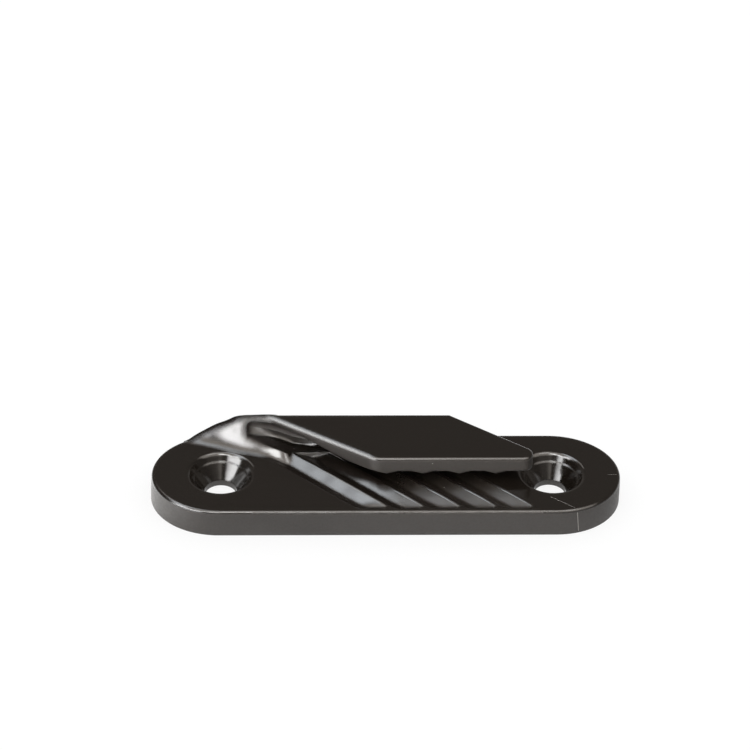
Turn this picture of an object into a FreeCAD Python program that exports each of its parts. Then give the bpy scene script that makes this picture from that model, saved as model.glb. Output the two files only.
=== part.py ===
import FreeCAD, Part
import math
import os

from FreeCAD import Vector

# Side-entry jam cleat, moulded in one piece. Millimetres, +Z up.
# The origin is the centre of the flat underside. +X runs along the plate towards the jaw's tip, and +Y runs
# from the open front of the rope channel to the wall at its back.

# Base plate
plate_length = 82.5
plate_width = 22.0
plate_thickness = 5.0
end_reach = 12.0              # each half-elliptical end, measured along the plate
wall_draft = 2.0              # degrees that the outer walls lean inwards
plate_edge_radius = 0.5

# Countersunk screw holes
hole_spacing = 58.0
hole_radius = 2.75
hole_land = 1.1               # straight bore below the cone
head_radius = 4.62            # top of the lower cone, where a small ledge surrounds the screw's head
head_seat = 3.75              # height of that ledge
ledge_width = 0.14
mouth_radius = 5.6            # upper cone where it would meet the plate's top
mouth_blend = 0.4             # length that the rounding at the mouth takes

# Body and jaw
cleat_height = 9.75
jaw_front = -2.2              # Y of the jaw's front wall
jaw_front_left = -2.2         # X where the front wall meets the left diagonal
jaw_left_angle = 33.0         # degrees of the left diagonal to the plate's length
jaw_back_right = 11.5         # X where the right diagonal leaves the back wall
jaw_right_angle = 36.0        # degrees of the right diagonal
jaw_tip_radius = 1.8
jaw_corner_radius = 4.0       # between the front wall and the left diagonal
jaw_heel_radius = 1.2         # at the back end of the right diagonal
jaw_lip_height = 7.1          # underside of the jaw at its front wall
jaw_edge_radius = 0.5

# Rope channel under the jaw
channel_back = 6.3            # Y of the rounded root
channel_root_depth = 0.7      # how far the root's rounding reaches
roof_slope = 7.5              # degrees that the jaw's underside falls towards the root

# Diagonal ribs in the base
rib_angle = 42.6              # degrees of the ribs to the plate's length
rib_pitch = 6.35              # along the plate
rib_count = 5
rib_first = 0.9               # X where the first crest meets the front edge
rib_depth = 0.78
rib_wall = 2.4                # plan width of the wall that faces the front, square to the rib
rib_crest = 0.12              # flat left on each crest
rib_bevel = 0.3               # plan width of the gentler strip that softens each crest
rib_front_land = 0.25         # plain strip between the rib ends and the edge rounding
rib_fade = 3.5                # length over which the ribs run out towards the front

# Ribs under the jaw
jaw_rib_count = 4
jaw_rib_first = -0.1          # X of the first crest at the jaw's front wall
jaw_rib_depth = 0.55
jaw_rib_side = 1.35           # plan width of each side, square to the rib

# Ramp at the left end: its flank rises from the plate and rolls over into the top
ramp_stations = [             # X, foot from the back edge, foot below the top, flank angle, foot blend
    (-37.0, 0.9, 0.1, -3.0, 0.5),
    (-35.0, 1.5, 0.1, 17.0, 0.8),
    (-33.0, 2.35, 0.05, 31.0, 1.1),
    (-31.0, 2.9, 0.05, 38.0, 1.3),
    (-29.0, 3.5, 0.05, 43.0, 1.5),
    (-27.0, 4.15, 0.05, 46.5, 1.5),
    (-25.5, 4.6, 0.05, 49.0, 1.5),
    (-24.0, 5.05, 0.05, 48.0, 1.4),
    (-22.0, 5.85, 0.05, 45.0, 1.1),
    (-20.5, 6.35, 0.1, 42.5, 0.8),
    (-19.2, 6.85, 0.3, 38.0, 0.5),
    (-16.2, 9.1, 1.1, 12.5, 0.1),
]
ramp_crown_angle = 20.0       # slope that the flank rolls over to where it meets the back edge's full height
ramp_crown_blend = 3.0        # length of the rounding between the flank and that slope, on each side

# Throat: the channel's flared left end
throat_stations = [           # X, back wall from the back edge, floor and roof above the plate's top
    (-24.5, 1.6, 1.65, 3.0),
    (-24.2, 1.15, 1.6, 3.55),
    (-23.5, 0.95, 1.46, 3.85),
    (-21.5, 1.05, 1.15, 3.9),
    (-19.0, 1.4, 0.75, 3.75),
    (-16.2, 2.0, 0.05, 3.5),
    (-13.0, 2.7, 0.0, 3.1),
    (-7.0, 3.9, 0.0, 2.1),
]

# Room left around a cut so that it passes its walls
past = 3.0


def draft_inset(height):
    return height * math.tan(math.radians(wall_draft))


def quarter_ellipse(start, corner, end):
    curve = Part.BezierCurve()
    curve.setPoles([start, corner, end])
    curve.setWeight(2, math.sqrt(0.5))
    return curve.toShape()


def plate_outline(height):
    """Straight sides and half-elliptical ends, drawn in by the draft."""
    straight = plate_length / 2 - end_reach
    reach = plate_length / 2 - draft_inset(height)
    side = plate_width / 2 - draft_inset(height)
    edges = []
    for sign in (1, -1):
        start = Vector(sign * straight, -sign * side, height)
        tip = Vector(sign * reach, 0, height)
        end = Vector(sign * straight, sign * side, height)
        edges.append(quarter_ellipse(start, Vector(sign * reach, -sign * side, height), tip))
        edges.append(quarter_ellipse(tip, Vector(sign * reach, sign * side, height), end))
        edges.append(Part.makeLine(end, Vector(-sign * straight, sign * side, height)))
    return Part.Wire(edges)


def drafted_block(top):
    return Part.makeLoft([plate_outline(0), plate_outline(top)], True, True)


def edges_at(shape, height):
    """Edges that lie wholly at one height."""
    def level(edge):
        box = edge.BoundBox
        return abs(box.ZMin - height) < 1e-4 and abs(box.ZMax - height) < 1e-4
    return [edge for edge in shape.Edges if level(edge)]


def base_plate():
    block = drafted_block(plate_thickness)
    return block.makeFillet(plate_edge_radius, edges_at(block, plate_thickness))


def rounded_outline(corners, height):
    """Closed outline through corners given as (point, radius), with an arc at each radius above zero."""
    edges = []
    ends = []
    count = len(corners)
    for index, (point, radius) in enumerate(corners):
        before = corners[index - 1][0]
        after = corners[(index + 1) % count][0]
        towards_before = (before - point).normalize()
        towards_after = (after - point).normalize()
        if radius == 0:
            ends.append((point, point, None))
            continue
        half = towards_before.getAngle(towards_after) / 2
        reach = radius / math.tan(half)
        centre = point + (towards_before + towards_after).normalize() * (radius / math.sin(half))
        middle = centre + (point - centre).normalize() * radius
        ends.append((point + towards_before * reach, point + towards_after * reach, middle))
    for index, (start, end, middle) in enumerate(ends):
        if middle is not None:
            edges.append(Part.Arc(start, middle, end).toShape())
        edges.append(Part.makeLine(end, ends[(index + 1) % count][0]))
    wire = Part.Wire(edges)
    wire.translate(Vector(0, 0, height))
    return wire


def jaw_column():
    """The plan of the body along the back edge and of the jaw, as one upright block."""
    outside = plate_width / 2 + past
    back = plate_width / 2 - draft_inset(cleat_height)
    left_run = (outside - jaw_front) / math.tan(math.radians(jaw_left_angle))
    right_slope = math.tan(math.radians(jaw_right_angle))
    heel = Vector(jaw_back_right, back, 0)
    tip = Vector(jaw_back_right + (back - jaw_front) / right_slope, jaw_front, 0)
    front_left = Vector(jaw_front_left, jaw_front, 0)
    corners = [
        (Vector(jaw_front_left - left_run, outside, 0), 0),
        (front_left, jaw_corner_radius),
        (tip, jaw_tip_radius),
        (heel, jaw_heel_radius),
        (heel + Vector(-past / 2, past, 0), 0),
    ]
    sunk = plate_thickness / 2
    outline = rounded_outline(corners, plate_thickness - sunk)
    block = Part.Face(outline).extrude(Vector(0, 0, cleat_height - plate_thickness + sunk))
    return block.common(drafted_block(cleat_height))


def jaw_block():
    column = jaw_column()
    return column.makeFillet(jaw_edge_radius, edges_at(column, cleat_height))


def jaw_rib(index):
    """One ridge under the jaw, in line with the base ribs and following the slope of the jaw's underside."""
    side = jaw_rib_side / math.sin(math.radians(rib_angle))
    fall = math.tan(math.radians(roof_slope))
    sections = []
    for y in (jaw_front - past, channel_back):
        crest_x = jaw_rib_first + index * rib_pitch - (y - jaw_front) / rib_slant()
        roof = jaw_lip_height - (y - jaw_front) * fall
        sections.append(Part.makePolygon([
            Vector(crest_x - side, y, roof),
            Vector(crest_x, y, roof - jaw_rib_depth),
            Vector(crest_x + side, y, roof),
            Vector(crest_x, y, roof + jaw_rib_depth),
            Vector(crest_x - side, y, roof),
        ]))
    rib = Part.makeLoft(sections, True, True)
    straight_part = Part.makeBox(plate_length, plate_width, cleat_height)
    straight_part.translate(Vector(jaw_front_left, jaw_front, 0))
    return rib.common(straight_part).common(jaw_column())


def channel_section(x, back, floor, roof_front, roof_y, slope):
    """A U lying on its side: level floor, rounded root and a roof that falls towards the root."""
    front = -plate_width / 2 - past
    fall = math.tan(math.radians(slope))
    root_start = back - channel_root_depth
    roof_root = roof_front - (root_start - roof_y) * fall
    roof_out = roof_front + (roof_y - front) * fall
    lower_front = Vector(x, front, floor)
    lower_root = Vector(x, root_start, floor)
    root = Vector(x, back, (floor + roof_root) / 2)
    upper_root = Vector(x, root_start, roof_root)
    upper_front = Vector(x, front, roof_out)
    return Part.Wire([
        Part.makeLine(lower_front, lower_root),
        Part.Arc(lower_root, root, upper_root).toShape(),
        Part.makeLine(upper_root, upper_front),
        Part.makeLine(upper_front, lower_front),
    ])


def left_diagonal(x):
    return jaw_front + (jaw_front_left - x) * math.tan(math.radians(jaw_left_angle))


def rope_channel():
    """The straight channel under the jaw and the throat that opens out from it to the left."""
    top = plate_thickness
    straight = channel_section(jaw_front_left, channel_back, top, jaw_lip_height, jaw_front, roof_slope)
    right_end = plate_length / 2 + past - jaw_front_left
    channel = Part.Face(straight).extrude(Vector(right_end, 0, 0))
    sections = []
    for x, from_back, floor, roof in throat_stations:
        back = plate_width / 2 - from_back
        sections.append(channel_section(x, back, top + floor, top + roof, left_diagonal(x), roof_slope))
    sections.append(straight)
    throat = Part.makeLoft(sections, True, False)
    return channel.fuse(throat)


def ramp_section(x, from_back, below, angle, foot_blend):
    """Section of the ramp: level foot, straight flank, and a roll-over towards the top of the back edge."""
    outside = plate_width / 2 + past
    back = plate_width / 2 - draft_inset(cleat_height)
    foot = Vector(x, plate_width / 2 - from_back, plate_thickness - below)
    rise = math.tan(math.radians(angle))
    crown_rise = math.tan(math.radians(ramp_crown_angle))
    along = Vector(0, 1, rise).normalize()
    crown_y = outside
    if rise > crown_rise:
        crown_line = cleat_height - back * crown_rise
        crown_y = min(outside, (crown_line - foot.z + foot.y * rise) / (rise - crown_rise))
    crown = foot + Vector(0, crown_y - foot.y, (crown_y - foot.y) * rise)
    beyond = crown + along * ramp_crown_blend
    if crown_y < outside:
        beyond = crown + Vector(0, 1, crown_rise).normalize() * ramp_crown_blend
    poles = [
        foot - Vector(0, foot_blend, 0),
        foot,
        foot + along * foot_blend,
        crown - along * ramp_crown_blend,
        crown,
        beyond,
    ]
    flank = Part.BSplineCurve()
    flank.buildFromPolesMultsKnots(poles, [3, 1, 1, 1, 3], [0, 1, 2, 3, 4], False, 2)
    deep = plate_thickness / 2
    sill = Vector(x, poles[0].y, deep)
    far = Vector(x, outside + 2 * ramp_crown_blend, deep)
    far_top = Vector(x, far.y, beyond.z)
    return Part.Wire([
        flank.toShape(),
        Part.makeLine(beyond, far_top),
        Part.makeLine(far_top, far),
        Part.makeLine(far, sill),
        Part.makeLine(sill, poles[0]),
    ])


def ramp():
    """The flank that rises from the left end to the top and turns into the first rib on its right."""
    sections = [ramp_section(*station) for station in ramp_stations]
    return Part.makeLoft(sections, True, False).common(drafted_block(cleat_height))


def rib_slant():
    return math.tan(math.radians(rib_angle))


def rib_groove(index):
    """One groove between two crests, at full depth under the jaw and running out to nothing in front."""
    front = -plate_width / 2 + draft_inset(plate_thickness) + plate_edge_radius + rib_front_land
    across = math.sin(math.radians(rib_angle))
    wall = rib_wall / across
    bevel = rib_bevel / across
    crest = rib_crest / across
    fade_start = front + rib_fade
    back = channel_back - channel_root_depth

    def section(y, depth):
        crest_x = rib_first + index * rib_pitch - (y - front) / rib_slant()
        valley = Vector(crest_x - wall, y, plate_thickness - depth)
        shoulder = Vector(crest_x - bevel, y, plate_thickness - depth * bevel / wall / 2)
        left = Vector(crest_x - rib_pitch + crest, y, plate_thickness)
        right = Vector(crest_x, y, plate_thickness)
        above = Vector(0, 0, rib_depth)
        return Part.makePolygon([left, valley, shoulder, right, right + above, left + above, left])

    steps = 4
    run_out = []
    for step in range(steps + 1):
        share = step / steps
        depth = rib_depth * math.sqrt(1 - share ** 2)
        run_out.append(section(fade_start - share * rib_fade, max(depth, rib_crest / 10)))
    straight = Part.makeLoft([section(back, rib_depth), run_out[0]], True, True)
    faded = Part.makeLoft(run_out, True, True)
    return straight.fuse(faded)


def screw_hole(x):
    """Clearance bore and countersink, whose upper cone starts at a small ledge, kept below the jaw's tip."""
    above = (plate_thickness + jaw_lip_height) / 2
    ledge = head_radius + ledge_width
    mouth = Vector(mouth_radius, 0, plate_thickness)
    down = (Vector(ledge, 0, head_seat) - mouth).normalize()
    blend_start = mouth + down * mouth_blend
    blend_end = mouth + Vector(mouth_blend, 0, 0)
    blend = Part.BezierCurve()
    blend.setPoles([blend_start, mouth, blend_end])
    below_blend = Part.makePolygon([
        Vector(0, 0, above),
        Vector(0, 0, -past),
        Vector(hole_radius, 0, -past),
        Vector(hole_radius, 0, hole_land),
        Vector(head_radius, 0, head_seat),
        Vector(ledge, 0, head_seat),
        blend_start,
    ])
    above_blend = Part.makePolygon([blend_end, Vector(blend_end.x, 0, above), Vector(0, 0, above)])
    profile = Part.Wire(below_blend.Edges + [blend.toShape()] + above_blend.Edges)
    hole = Part.Face(profile).revolve(Vector(0, 0, 0), Vector(0, 0, 1), 360)
    hole.translate(Vector(x, 0, 0))
    return hole


def cleat_body():
    channel = rope_channel()
    body = base_plate().fuse(jaw_block().cut(channel))
    for index in range(jaw_rib_count):
        body = body.fuse(jaw_rib(index))
    for index in range(rib_count):
        body = body.cut(rib_groove(index))
    body = body.fuse(ramp().cut(channel))
    for side in (-1, 1):
        body = body.cut(screw_hole(side * hole_spacing / 2))
    return body.removeSplitter()


os.makedirs("parts", exist_ok=True)
shape = cleat_body()
print("valid", shape.isValid(), "solids", len(shape.Solids), "faces", len(shape.Faces), "volume", round(shape.Volume))
shape.exportStep("parts/cleat_body.step")
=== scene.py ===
import math

import bpy
from mathutils import Matrix, Vector


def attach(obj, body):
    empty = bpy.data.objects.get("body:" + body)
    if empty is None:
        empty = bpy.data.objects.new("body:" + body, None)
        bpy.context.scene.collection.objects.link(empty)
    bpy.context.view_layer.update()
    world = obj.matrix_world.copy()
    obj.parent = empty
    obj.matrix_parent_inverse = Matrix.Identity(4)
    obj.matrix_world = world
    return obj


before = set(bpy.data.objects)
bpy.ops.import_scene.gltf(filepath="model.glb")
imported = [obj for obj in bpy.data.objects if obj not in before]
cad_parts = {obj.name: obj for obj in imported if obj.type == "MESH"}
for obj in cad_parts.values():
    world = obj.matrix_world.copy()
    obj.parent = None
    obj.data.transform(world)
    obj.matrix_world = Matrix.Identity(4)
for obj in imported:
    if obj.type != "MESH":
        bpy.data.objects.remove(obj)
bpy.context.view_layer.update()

print("frame loaded")

mm = 0.001  # metres in a millimetre


# Directions: the azimuth goes from +Y towards +X, the elevation up from the horizon, both in degrees

def pointTo(azimuth, elevation):
    turn = math.radians(azimuth)
    rise = math.radians(elevation)
    return Vector((math.sin(turn) * math.cos(rise), math.cos(turn) * math.cos(rise), math.sin(rise)))


def rightOf(azimuth):
    turn = math.radians(azimuth)
    return Vector((math.cos(turn), -math.sin(turn), 0))


# Camera, at the photograph's viewing angle

photoCamera = {
    "azimuth": 3.29,  # degrees
    "elevation": 36.5,  # degrees that the lens stands above the horizon
    "roll": 1.98,  # degrees, the picture turned clockwise
    "distance": 469.7,  # mm from the lens to the object's origin, along the view
    "lens": 127.95,  # mm
    "sensor": 36,  # mm
    "right": 2.61,  # mm that the origin lies right of the picture's middle
    "down": 21.04,  # mm that it lies below the middle
    "clip": (0.01, 20),  # metres, nearest and farthest that it sees
}


def addCamera(values):
    sight = pointTo(values["azimuth"], -values["elevation"])
    right = rightOf(values["azimuth"])
    up = right.cross(sight)
    place = -values["right"] * right + values["down"] * up - values["distance"] * sight
    roll = math.radians(values["roll"])
    turnedRight = right * math.cos(roll) + up * math.sin(roll)
    turnedUp = up * math.cos(roll) - right * math.sin(roll)
    data = bpy.data.cameras.new("camera")
    data.lens = values["lens"]
    data.sensor_width = values["sensor"]
    data.clip_start, data.clip_end = values["clip"]
    camera = bpy.data.objects.new("camera", data)
    camera.matrix_world = Matrix((
        (turnedRight.x, turnedUp.x, -sight.x, place.x * mm),
        (turnedRight.y, turnedUp.y, -sight.y, place.y * mm),
        (turnedRight.z, turnedUp.z, -sight.z, place.z * mm),
        (0, 0, 0, 1),
    ))
    bpy.context.scene.collection.objects.link(camera)
    bpy.context.scene.camera = camera
    bpy.context.scene.view_settings.view_transform = "Standard"


addCamera(photoCamera)
print("camera set")


# Small helpers for node trees. An input is a socket to link or a value to set

def addNode(tree, kind, inputs=None, **settings):
    node = tree.nodes.new(kind)
    for name, value in settings.items():
        setattr(node, name, value)
    for name, value in (inputs or {}).items():
        socket = node.inputs[name]
        if isinstance(value, bpy.types.NodeSocket):
            tree.links.new(value, socket)
        else:
            socket.default_value = value
    return node


def calculate(tree, operation, *numbers):
    return addNode(tree, "ShaderNodeMath", dict(enumerate(numbers)), operation=operation).outputs[0]


def fade(tree, value, span, levels, shape="LINEAR"):  # from the first level to the second, across the span
    return addNode(tree, "ShaderNodeMapRange", {
        "Value": value, "From Min": span[0], "From Max": span[1], "To Min": levels[0], "To Max": levels[1],
    }, interpolation_type=shape).outputs[0]


def addVectors(tree, first, second):
    return addNode(tree, "ShaderNodeVectorMath", {0: first, 1: second}, operation="ADD").outputs[0]


def scaleVector(tree, vector, share):
    return addNode(tree, "ShaderNodeVectorMath", {0: vector, "Scale": share}, operation="SCALE").outputs[0]


def dotProduct(tree, first, second):
    node = addNode(tree, "ShaderNodeVectorMath", {0: first, 1: second}, operation="DOT_PRODUCT")
    return node.outputs["Value"]


def splitVector(tree, vector):
    return addNode(tree, "ShaderNodeSeparateXYZ", {"Vector": vector}).outputs


def mixShaders(tree, share, first, second):
    return addNode(tree, "ShaderNodeMixShader", {0: share, 1: first, 2: second}).outputs[0]


def noise(tree, place, scale, detail):
    node = addNode(tree, "ShaderNodeTexNoise", {"Vector": place, "Scale": scale, "Detail": detail})
    return node.outputs["Fac"]


def bump(tree, height, strength, normal):
    return addNode(tree, "ShaderNodeBump", {
        "Height": height, "Strength": strength, "Distance": mm, "Normal": normal,
    }).outputs[0]


def emptyMaterial(name):
    material = bpy.data.materials.new(name)
    material.use_nodes = True
    material.node_tree.nodes.clear()
    return material, material.node_tree


# World: plain white, except in the gloss, which shows a studio: backdrop, dark room and lit panels

studioRoom = {  # a side or top is the Y or Z of a direction, from where a change starts to where it ends
    "dark": 0.17,  # brightness of the room
    "backdrop": 0.3,  # brightness of the paper behind the object
    "backdropSide": (0.3, 0.7),
    "backdropTop": (0.38, 0.57),
    "frontGrey": 0.5,  # what the camera's side of the room adds
    "frontSide": (-0.8, -0.5),
    "tint": (1.0, 0.93, 0.86),
    "grazing": 0.02,  # cosine below which a panel isn't seen
}

panels = {  # azimuth and elevation in degrees, half width and height and soft rim as tangents, brightness
    "key": {"at": (-128, 41.5), "half": (0.32, 0.11), "soft": 0.05, "glow": 21.0, "tint": (1, 1, 1)},
    "lowKey": {"at": (-129, 22.5), "half": (0.42, 0.14), "soft": 0.08, "glow": 16.0, "tint": (1, 1, 1)},
    "corner": {"at": (-173, 63), "half": (0.12, 0.16), "soft": 0.05, "glow": 18.0, "tint": (1, 1, 1)},
    "top": {"at": (95, 77), "half": (0.12, 0.13), "soft": 0.05, "glow": 8.0, "tint": (1, 1, 1)},
    "side": {"at": (-100, 53), "half": (0.22, 0.12), "soft": 0.08, "glow": 8.0, "tint": (0.97, 0.98, 1)},
    "lip": {"at": (-152, 53), "half": (0.15, 0.08), "soft": 0.04, "glow": 20.0, "tint": (1, 1, 1)},
    "band": {"at": (-86, 60), "half": (0.16, 0.07), "soft": 0.035, "glow": 9.0, "tint": (0.95, 0.97, 1)},
    "window": {"at": (-32, 62.5), "half": (0.18, 0.125), "soft": 0.05, "glow": 8.6, "tint": (0.90, 0.95, 1)},
    "sill": {"at": (-14, 49), "half": (0.07, 0.08), "soft": 0.05, "glow": 4.5, "tint": (1.0, 0.94, 0.88)},
    "ceiling": {"at": (150, 72), "half": (0.62, 0.75), "soft": 0.12, "glow": 3.0, "tint": (1.0, 0.93, 0.85)},
}


def makePanelGroup(grazing):
    group = bpy.data.node_groups.new("softPanel", "ShaderNodeTree")
    for name in ("Direction", "Towards", "Right", "Up"):
        group.interface.new_socket(name=name, in_out="INPUT", socket_type="NodeSocketVector")
    for name in ("Half Width", "Half Height", "Soft"):
        group.interface.new_socket(name=name, in_out="INPUT", socket_type="NodeSocketFloat")
    group.interface.new_socket(name="Colour", in_out="INPUT", socket_type="NodeSocketColor")
    group.interface.new_socket(name="Colour", in_out="OUTPUT", socket_type="NodeSocketColor")
    given = group.nodes.new("NodeGroupInput").outputs
    facing = dotProduct(group, given["Direction"], given["Towards"])
    depth = calculate(group, "MAXIMUM", facing, grazing)
    share = calculate(group, "GREATER_THAN", facing, grazing)
    for axis, half in (("Right", "Half Width"), ("Up", "Half Height")):
        place = calculate(group, "DIVIDE", dotProduct(group, given["Direction"], given[axis]), depth)
        outward = calculate(group, "ABSOLUTE", place)
        inner = calculate(group, "SUBTRACT", given[half], given["Soft"])
        outer = calculate(group, "ADD", given[half], given["Soft"])
        inside = fade(group, outward, (inner, outer), (1.0, 0.0), "SMOOTHSTEP")
        share = calculate(group, "MULTIPLY", share, inside)
    addNode(group, "NodeGroupOutput", {"Colour": scaleVector(group, given["Colour"], share)})
    return group


def addPanel(tree, group, direction, values):
    azimuth, elevation = values["at"]
    towards = pointTo(azimuth, elevation)
    right = rightOf(azimuth)
    panel = tree.nodes.new("ShaderNodeGroup")
    panel.node_tree = group
    sockets = panel.inputs
    tree.links.new(direction, sockets["Direction"])
    sockets["Towards"].default_value = towards
    sockets["Right"].default_value = right
    sockets["Up"].default_value = right.cross(towards)
    sockets["Half Width"].default_value, sockets["Half Height"].default_value = values["half"]
    sockets["Soft"].default_value = values["soft"]
    sockets["Colour"].default_value = (*(values["glow"] * part for part in values["tint"]), 1)
    return panel.outputs["Colour"]


def buildWorld(room, lamps):
    studio = bpy.data.worlds.new("studio")
    studio.use_nodes = True
    tree = studio.node_tree
    tree.nodes.clear()
    direction = addNode(tree, "ShaderNodeTexCoord").outputs["Generated"]
    split = splitVector(tree, direction)
    paper = fade(tree, split["Y"], room["backdropSide"], (room["dark"], room["backdrop"]), "SMOOTHSTEP")
    front = fade(tree, split["Y"], room["frontSide"], (room["frontGrey"], 0.0), "SMOOTHSTEP")
    around = calculate(tree, "ADD", paper, front)
    walls = fade(tree, split["Z"], room["backdropTop"], (around, room["dark"]), "SMOOTHSTEP")
    light = scaleVector(tree, room["tint"], walls)
    group = makePanelGroup(room["grazing"])
    for values in lamps.values():
        light = addVectors(tree, light, addPanel(tree, group, direction, values))
    glossy = addNode(tree, "ShaderNodeLightPath").outputs["Is Glossy Ray"]
    reflected = addNode(tree, "ShaderNodeBackground", {"Color": light}).outputs[0]
    plain = addNode(tree, "ShaderNodeBackground", {"Color": (1, 1, 1, 1)}).outputs[0]
    addNode(tree, "ShaderNodeOutputWorld", {"Surface": mixShaders(tree, glossy, plain, reflected)})
    bpy.context.scene.world = studio


buildWorld(studioRoom, panels)
print("world set")


# Floor: white to the camera, with the object's soft shadow. In the gloss it glows brighter towards the key
# panel and darker on the other side: painted light and painted shade of the floor beside the object

floorValues = {
    "size": 6.0,  # metres
    "below": 0.00002,  # metres between it and the object's underside
    "white": 1.02,  # brightness to the camera, away from the object
    "shade": 0.22,  # what the object's shadow can take away from that
    "bounce": 0.8,  # grey of the light that it throws back
    "gloss": ((-0.0435, 3.5), (-0.035, 1.85), (0.035, 1.7), (0.045, 1.3)),  # X in metres and brightness
}


def paintedFloorLight(tree, steps):
    place = addNode(tree, "ShaderNodeTexCoord").outputs["Object"]
    along = splitVector(tree, place)["X"]
    level = steps[0][1]
    for (startX, startLevel), (endX, endLevel) in zip(steps, steps[1:]):
        change = fade(tree, along, (startX, endX), (0.0, endLevel - startLevel))
        level = calculate(tree, "ADD", level, change)
    return level


def makeFloorMaterial(values):
    material, tree = emptyMaterial("paleFloor")
    shade = values["shade"]
    grey = values["bounce"]
    rays = addNode(tree, "ShaderNodeLightPath").outputs
    lit = addNode(tree, "ShaderNodeBsdfDiffuse", {"Color": (shade, shade, shade, 1)}).outputs[0]
    glow = addNode(tree, "ShaderNodeEmission", {"Strength": values["white"] - shade}).outputs[0]
    bright = addNode(tree, "ShaderNodeAddShader", {0: lit, 1: glow}).outputs[0]
    plain = addNode(tree, "ShaderNodeBsdfDiffuse", {"Color": (grey, grey, grey, 1)}).outputs[0]
    # painted light and shade: in reflections the floor glows brighter on the key's side and darker on the far
    # side
    mirrored = addNode(tree, "ShaderNodeEmission", {"Strength": paintedFloorLight(tree, values["gloss"])}).outputs[0]
    seen = mixShaders(tree, rays["Is Camera Ray"], plain, bright)
    mixed = mixShaders(tree, rays["Is Glossy Ray"], seen, mirrored)
    addNode(tree, "ShaderNodeOutputMaterial", {"Surface": mixed})
    return material


def addFloor(values):
    bpy.ops.object.select_all(action="DESELECT")
    bpy.ops.mesh.primitive_plane_add(size=values["size"], location=(0, 0, -values["below"]))
    floor = bpy.context.object
    floor.name = "floor"
    floor.data.materials.append(makeFloorMaterial(values))


addFloor(floorValues)
print("floor set")


# Glossy black moulded nylon: polished tops, duller walls, edges that look softly moulded

nylon = {  # lengths and places in metres
    "colour": (0.0130, 0.0100, 0.0077, 1),
    "ior": 1.53,
    "roughness": 0.12,
    "wallRoughness": 0.55,
    "wallToTop": (0.12, 0.3),  # Z of the normal, from walls to tops
    "grain": (2500.0, 3.0),  # scale and detail of the fine unevenness in the polish
    "grainShare": (0.8, 1.3),  # what it makes of the roughness
    "waves": (90.0, 2.0),  # scale and detail of the slow waves all over
    "waveStrength": 0.05,
    "softness": 0.0004,  # rounding that shows at the edges
    "softnessSamples": 6,
    "ramp": {  # the ramp and the throat
        "softness": 0.0020,
        "fade": (-0.022, -0.019),  # X across which that fades out
        "foot": 0.00503,  # Z above which it holds
        "footLine": (0.32, -0.0029),  # slope and limit: it also holds where X * slope + Y is past the limit
    },
    "jaw": {
        "softness": 0.0011,  # at the top of its left diagonal
        "fade": (-0.003, -0.001),
        "edge": 0.0085,  # Z above which it holds
        "draft": 0.28,  # slope that its front wall shows
        "frontFacing": (-0.95, -0.8),  # Y of the normal, from the front wall to the rest
        "frontFoot": 0.0055,  # Z above which the front wall is the jaw's
    },
    "channel": {  # the rope channel, between the screw holes
        "start": -0.0235,  # X
        "end": (0.5, 0.0212),  # slope and limit: it ends where Y * slope + X is past the limit
        "top": 0.00492,  # Z below which it lies
        "softness": 0.0009,
        "wear": (-0.002, 0.005),  # X across which it turns from polished to dulled by the rope
        "roughness": (0.17, 0.31),  # on either side of that
        "ripples": (300.0, 0.0),  # scale and detail
        "rippleStrength": 0.13,
        "flatness": 1.1,  # how much flatter its worn grooves look further in
        "inward": (-0.0092, -0.0056),  # Y across which they turn flatter
        "upward": 0.3,  # Z of the normal, above which a face belongs to a groove
    },
}


def channelMask(tree, spot, channel):
    slope, limit = channel["end"]
    started = calculate(tree, "GREATER_THAN", spot["X"], channel["start"])
    reach = calculate(tree, "MULTIPLY_ADD", spot["Y"], slope, spot["X"])
    going = calculate(tree, "LESS_THAN", reach, limit)
    sunk = calculate(tree, "LESS_THAN", spot["Z"], channel["top"])
    return calculate(tree, "MULTIPLY", calculate(tree, "MULTIPLY", started, going), sunk)


def nylonRoughness(tree, spot, facing, inChannel, values):
    channel = values["channel"]
    polish = fade(tree, facing["Z"], values["wallToTop"], (values["wallRoughness"], values["roughness"]))
    wear = fade(tree, spot["X"], channel["wear"], channel["roughness"])
    return calculate(tree, "MAXIMUM", polish, calculate(tree, "MULTIPLY", inChannel, wear))


def nylonSoftness(tree, spot, inChannel, values):
    ramp = values["ramp"]
    jaw = values["jaw"]
    slope, limit = ramp["footLine"]
    reach = calculate(tree, "MULTIPLY_ADD", spot["X"], slope, spot["Y"])
    nearFoot = calculate(tree, "GREATER_THAN", reach, limit)
    onRamp = calculate(tree, "MAXIMUM", nearFoot, calculate(tree, "GREATER_THAN", spot["Z"], ramp["foot"]))
    onJaw = calculate(tree, "GREATER_THAN", spot["Z"], jaw["edge"])
    radius = calculate(tree, "MULTIPLY", inChannel, values["channel"]["softness"])
    for inPart, part in ((onRamp, ramp), (onJaw, jaw)):
        softness = fade(tree, spot["X"], part["fade"], (part["softness"], 0.0))
        radius = calculate(tree, "MAXIMUM", radius, calculate(tree, "MULTIPLY", inPart, softness))
    return calculate(tree, "MAXIMUM", radius, values["softness"])


def nylonLean(tree, spot, facing, inChannel, values):
    jaw = values["jaw"]
    channel = values["channel"]
    front = fade(tree, facing["Y"], jaw["frontFacing"], (jaw["draft"], 0.0))
    onJaw = calculate(tree, "GREATER_THAN", spot["Z"], jaw["frontFoot"])
    frontLean = calculate(tree, "MULTIPLY", front, onJaw)
    worn = fade(tree, spot["X"], channel["wear"], (0.0, channel["flatness"]))
    inward = fade(tree, spot["Y"], channel["inward"], (0.0, 1.0))
    flatter = calculate(tree, "MULTIPLY", inChannel, calculate(tree, "MULTIPLY", worn, inward))
    upward = calculate(tree, "GREATER_THAN", facing["Z"], channel["upward"])
    grooveLean = calculate(tree, "MULTIPLY", flatter, upward)
    return calculate(tree, "ADD", frontLean, grooveLean)


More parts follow.
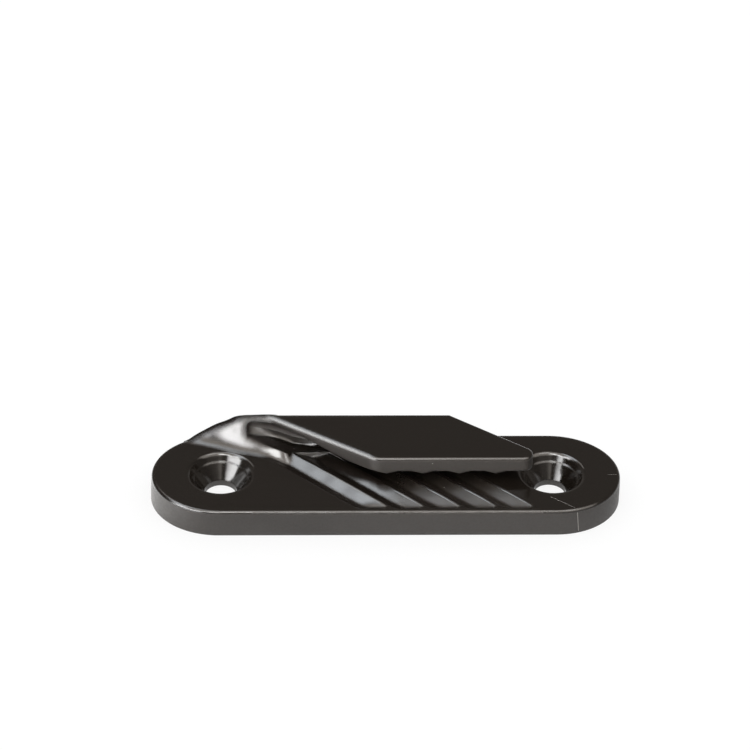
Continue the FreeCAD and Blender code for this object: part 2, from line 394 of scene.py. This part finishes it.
def makeNylon(values):
    material, tree = emptyMaterial("blackNylon")
    channel = values["channel"]
    coordinates = addNode(tree, "ShaderNodeTexCoord").outputs
    place = coordinates["Object"]
    spot = splitVector(tree, place)
    facing = splitVector(tree, coordinates["Normal"])
    inChannel = channelMask(tree, spot, channel)
    # how polished it is
    grain = fade(tree, noise(tree, place, *values["grain"]), (0.0, 1.0), values["grainShare"])
    rough = calculate(tree, "MULTIPLY", nylonRoughness(tree, spot, facing, inChannel, values), grain)
    # edges that look softer than they are, and faces that lean up more than they do
    radius = nylonSoftness(tree, spot, inChannel, values)
    edges = addNode(tree, "ShaderNodeBevel", {"Radius": radius}, samples=values["softnessSamples"]).outputs[0]
    lean = nylonLean(tree, spot, facing, inChannel, values)
    leaning = addVectors(tree, edges, addNode(tree, "ShaderNodeCombineXYZ", {"Z": lean}).outputs[0])
    # slow waves all over, and ripples in the channel
    waved = bump(tree, noise(tree, place, *values["waves"]), values["waveStrength"], leaning)
    rippling = calculate(tree, "MULTIPLY", inChannel, channel["rippleStrength"])
    rippled = bump(tree, noise(tree, place, *channel["ripples"]), rippling, waved)
    surface = addNode(tree, "ShaderNodeBsdfPrincipled", {
        "Base Color": values["colour"], "IOR": values["ior"], "Roughness": rough, "Normal": rippled,
    })
    addNode(tree, "ShaderNodeOutputMaterial", {"Surface": surface.outputs[0]})
    return material


blackNylon = makeNylon(nylon)
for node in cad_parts.values():
    for slot in node.material_slots:
        slot.material = blackNylon
print("material set")


# Fine marks: the flash line by the right screw hole, a knit line at the right end, and two specks

flash = {
    "colour": (0.30, 0.28, 0.26),
    "roughness": 0.4,
    "grain": (1500.0, 2.0),  # scale and detail of the uneven colour
    "grainShare": (0.5, 1.3),  # what it makes of the colour
    "lines": {  # start, end (mm) and thickness (mm)
        "flashWall": ((33.08, -10.385, 0.35), (32.60, -10.395, 4.45), 0.13),
        "flashEdge": ((32.60, -10.39, 4.42), (32.46, -10.20, 4.84), 0.11),
        "flashRim": ((32.47, -10.21, 4.83), (32.12, -9.70, 4.985), 0.09),
        "flashTop": ((32.15, -9.72, 4.985), (28.25, -6.72, 4.985), 0.055),
        "knitLine": ((38.8, -0.6, 4.985), (40.5, -0.6, 4.985), 0.042),
    },
    "lineRounding": 0.35,  # share of the thickness
    "lineSegments": 2,
    "specks": {  # centre and radius (mm)
        "jawSpeck": ((7.79, -2.19, 8.78), 0.09),
        "grooveSpeck": ((9.95, -3.40, 4.40), 0.09),
    },
    "speckSubdivisions": 2,
    "speckUnevenness": 0.3,  # share of the radius
    "speckSeed": 4,
}


def makeFlash(values):
    material, tree = emptyMaterial("flashNylon")
    place = addNode(tree, "ShaderNodeTexCoord").outputs["Object"]
    shade = fade(tree, noise(tree, place, *values["grain"]), (0.0, 1.0), values["grainShare"])
    surface = addNode(tree, "ShaderNodeBsdfPrincipled", {
        "Base Color": scaleVector(tree, values["colour"], shade), "Roughness": values["roughness"],
    })
    addNode(tree, "ShaderNodeOutputMaterial", {"Surface": surface.outputs[0]})
    return material


def finishMark(name, material):
    bpy.ops.object.mode_set(mode="OBJECT")
    bpy.ops.object.transform_apply(location=True, rotation=True, scale=True)
    mark = bpy.context.object
    mark.name = name
    mark.data.materials.append(material)
    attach(mark, "root")


def addLine(name, line, values, material):
    start, end, thickness = line
    run = (Vector(end) - Vector(start)) * mm
    middle = (Vector(end) + Vector(start)) * mm / 2
    width = thickness * mm
    bpy.ops.object.select_all(action="DESELECT")
    bpy.ops.mesh.primitive_cube_add(size=1, location=middle, rotation=run.to_track_quat("X", "Z").to_euler())
    bpy.context.object.scale = (run.length, width, width)
    bpy.ops.object.transform_apply(location=False, rotation=False, scale=True)
    bpy.ops.object.mode_set(mode="EDIT")
    bpy.ops.mesh.select_all(action="SELECT")
    bpy.ops.mesh.bevel(offset=width * values["lineRounding"], segments=values["lineSegments"], affect="EDGES")
    finishMark(name, material)


def addSpeck(name, speck, values, material):
    centre, radius = speck
    radius *= mm
    bpy.ops.object.select_all(action="DESELECT")
    bpy.ops.mesh.primitive_ico_sphere_add(
        subdivisions=values["speckSubdivisions"], radius=radius, location=Vector(centre) * mm)
    bpy.ops.object.mode_set(mode="EDIT")
    bpy.ops.mesh.select_all(action="SELECT")
    bpy.ops.transform.vertex_random(offset=radius * values["speckUnevenness"], seed=values["speckSeed"])
    finishMark(name, material)


flashNylon = makeFlash(flash)
for name, line in flash["lines"].items():
    addLine(name, line, flash, flashNylon)
for name, speck in flash["specks"].items():
    addSpeck(name, speck, flash, flashNylon)
print("marks set")
